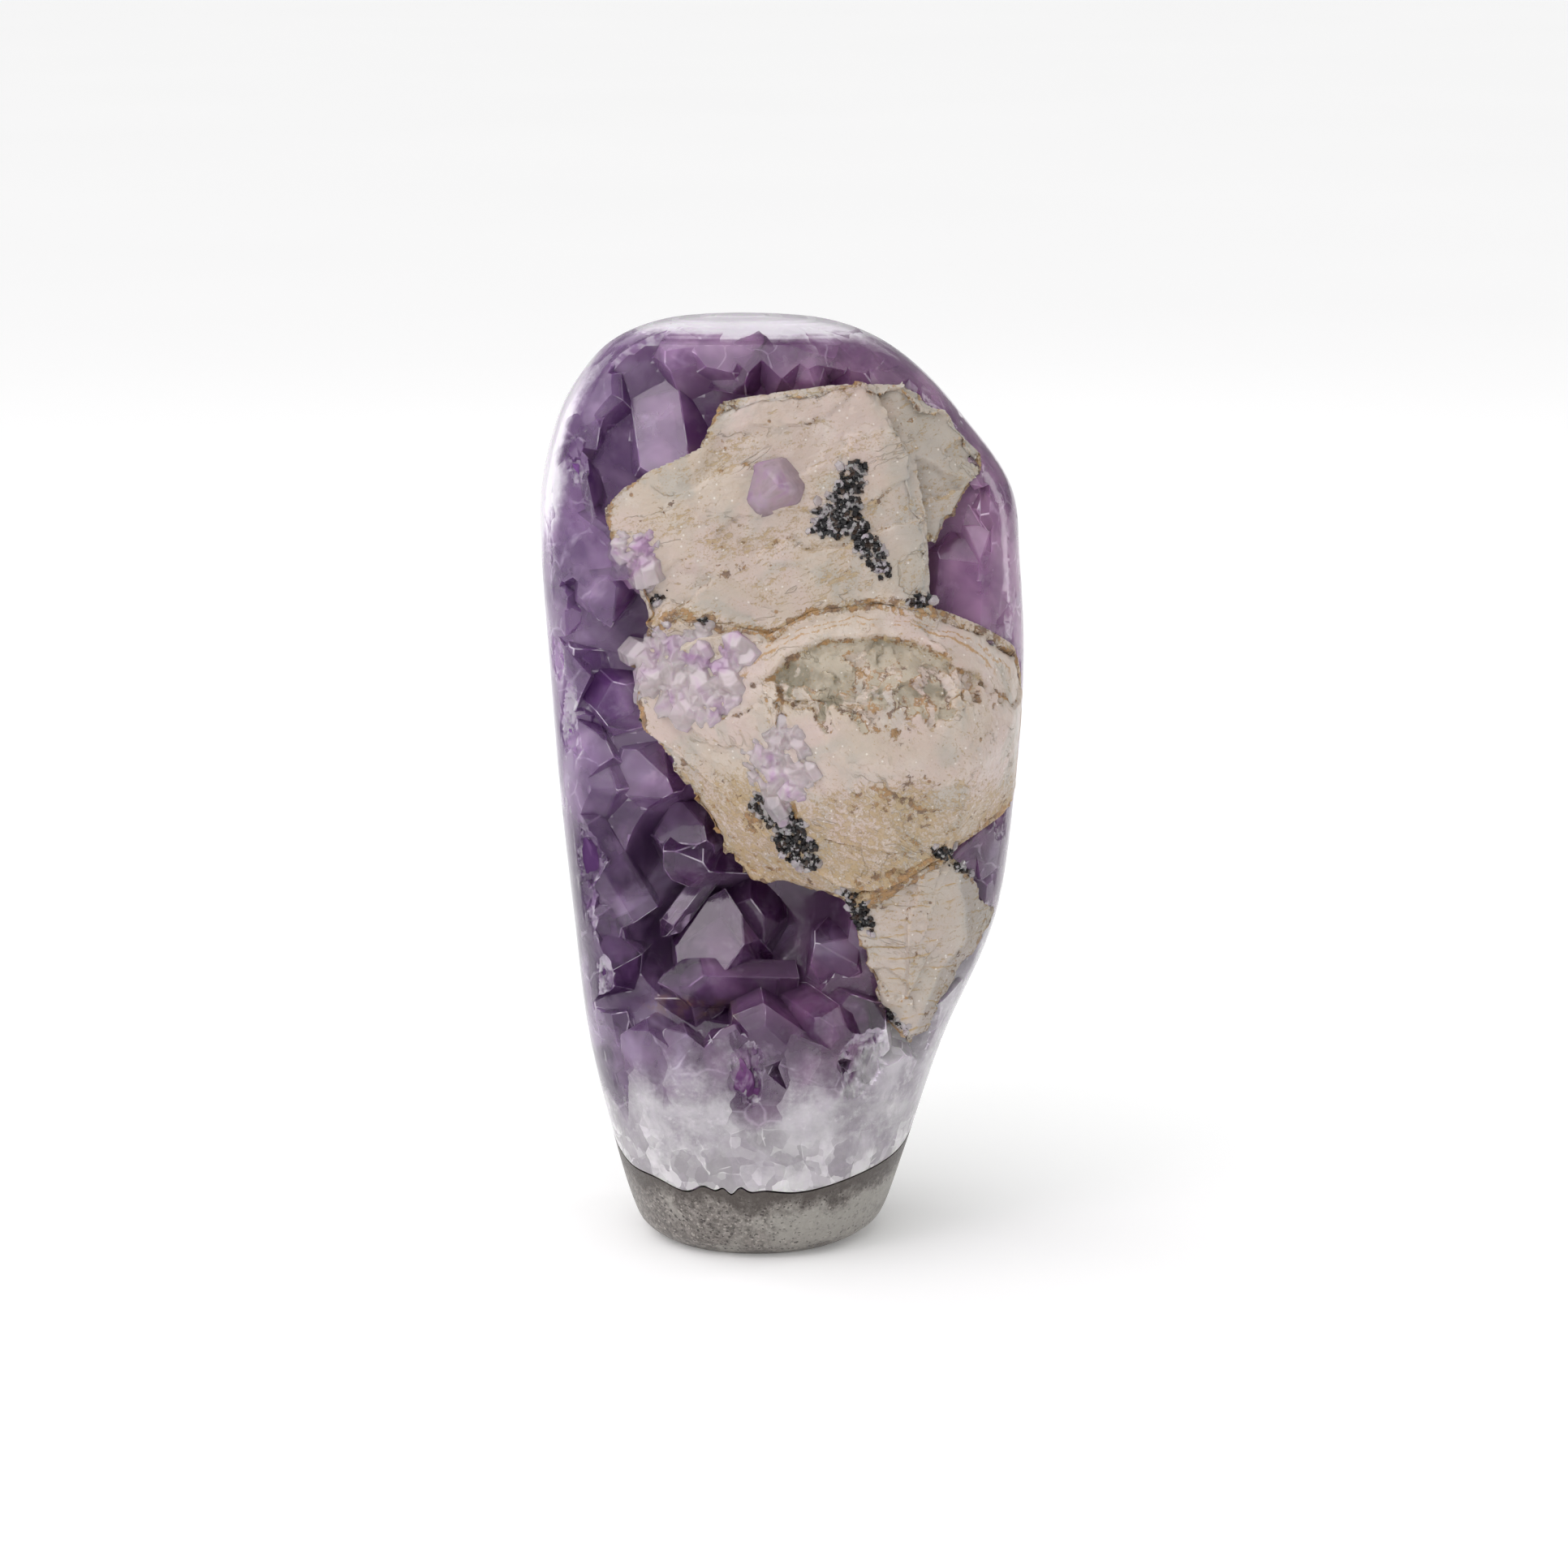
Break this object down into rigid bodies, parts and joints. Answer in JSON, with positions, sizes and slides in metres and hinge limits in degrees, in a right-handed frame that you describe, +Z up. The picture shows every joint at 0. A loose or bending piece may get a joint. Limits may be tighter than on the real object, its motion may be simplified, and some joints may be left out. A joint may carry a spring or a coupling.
{
  "type": "amethyst druse",
  "caption": "Free-standing amethyst druse with a ground and polished outside, a basalt rind, violet crystals in an open front and calcite crystals across it.",
  "frame": {"origin": "on the flat sawn foot that the druse stands on, under the middle of the slab", "axes": "+Z up from the foot, the open crystal front faces -Y, +X to the right as seen from the front"},
  "size_m": [0.078, 0.0588, 0.151],
  "materials": {
    "rind": "ground basalt, satin, with fine grains",
    "quartz": "clear to milky amethyst, glossy, polished outside",
    "calcite": "cream calcite, satin, with iron specks and grooves",
    "late_amethyst": "pale lilac crystals, glossy"
  },
  "bodies": {
    "root": {"rind": "rind", "quartz_crust": "quartz", "calcite_middle": "calcite", "calcite_upper": "calcite", "calcite_lower": "calcite", "late_amethyst_middle": "late_amethyst", "late_amethyst_lower": "late_amethyst", "late_amethyst_left": "late_amethyst", "lone_amethyst": "late_amethyst"}
  },
  "joints": []
}
